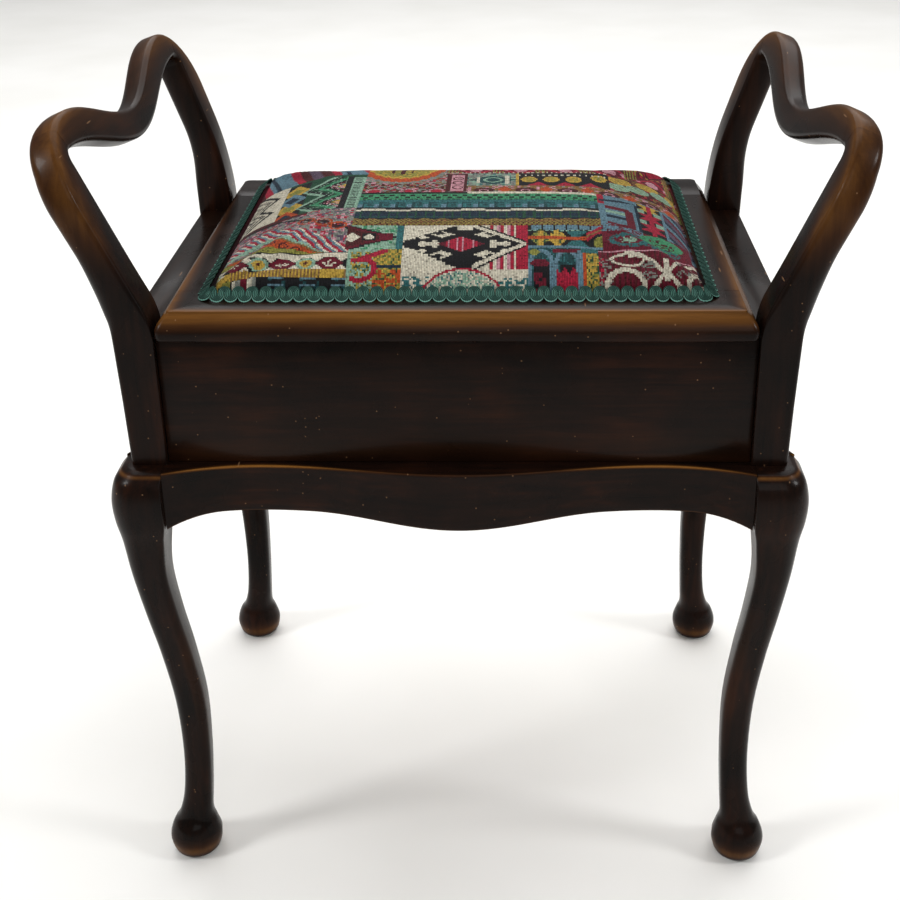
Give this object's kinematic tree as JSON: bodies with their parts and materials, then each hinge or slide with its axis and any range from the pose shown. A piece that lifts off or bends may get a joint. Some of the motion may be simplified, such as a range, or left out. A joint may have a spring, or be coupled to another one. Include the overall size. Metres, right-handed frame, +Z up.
{
  "type": "piano stool",
  "caption": "Mahogany piano stool on cabriole legs: padded tapestry lid hinged over a music box, with an arm loop at each end.",
  "frame": {"origin": "on the floor, midway between the four feet", "axes": "+Z up, -Y to the front where the lid opens, +X to the right seen from the front"},
  "size_m": [0.5868, 0.3722, 0.6327],
  "materials": {
    "mahogany": "dark French polish, worn to honey on the edges",
    "pale_wood": "unpolished inside wood",
    "tapestry": "woven patchwork tapestry",
    "braid": "green scroll gimp braid",
    "brass": "dull aged brass"
  },
  "bodies": {
    "stool": {"apron_back": "mahogany", "apron_front": "mahogany", "apron_left": "mahogany", "apron_right": "mahogany", "arm_dowel_back_left": "pale_wood", "arm_dowel_back_right": "pale_wood", "arm_dowel_front_left": "pale_wood", "arm_dowel_front_right": "pale_wood", "arm_post_back_left": "mahogany", "arm_post_back_right": "mahogany", "arm_post_front_left": "mahogany", "arm_post_front_right": "mahogany", "arm_rail_left": "mahogany", "arm_rail_right": "mahogany", "box_back_panel": "mahogany", "box_bottom": "pale_wood", "box_end_left": "mahogany", "box_end_right": "mahogany", "box_front_panel": "mahogany", "corner_block_back_left": "pale_wood", "corner_block_back_right": "pale_wood", "corner_block_front_left": "pale_wood", "corner_block_front_right": "pale_wood", "hinge_left_fixed_leaf": "brass", "hinge_left_fixed_screw_1": "brass", "hinge_left_fixed_screw_2": "brass", "hinge_left_pin": "brass", "hinge_right_fixed_leaf": "brass", "hinge_right_fixed_screw_1": "brass", "hinge_right_fixed_screw_2": "brass", "hinge_right_pin": "brass", "leg_back_left": "mahogany", "leg_back_right": "mahogany", "leg_front_left": "mahogany", "leg_front_right": "mahogany", "stand_screw_back_left": "brass", "stand_screw_back_right": "brass", "stand_screw_front_left": "brass", "stand_screw_front_right": "brass"},
    "lid": {"gimp_braid": "braid", "hinge_left_moving_leaf": "brass", "hinge_left_moving_screw_1": "brass", "hinge_left_moving_screw_2": "brass", "hinge_right_moving_leaf": "brass", "hinge_right_moving_screw_1": "brass", "hinge_right_moving_screw_2": "brass", "lid_board": "pale_wood", "lid_rail_back": "mahogany", "lid_rail_front": "mahogany", "lid_rail_left": "mahogany", "lid_rail_right": "mahogany", "seat_pad": "tapestry"}
  },
  "joints": [
    {"name": "lid_hinge", "type": "hinge", "parent": "stool", "child": "lid", "pos_m": [0, 0.1623, 0.4702], "axis": [-1, 0, 0], "range_deg": [0, 95]}
  ]
}
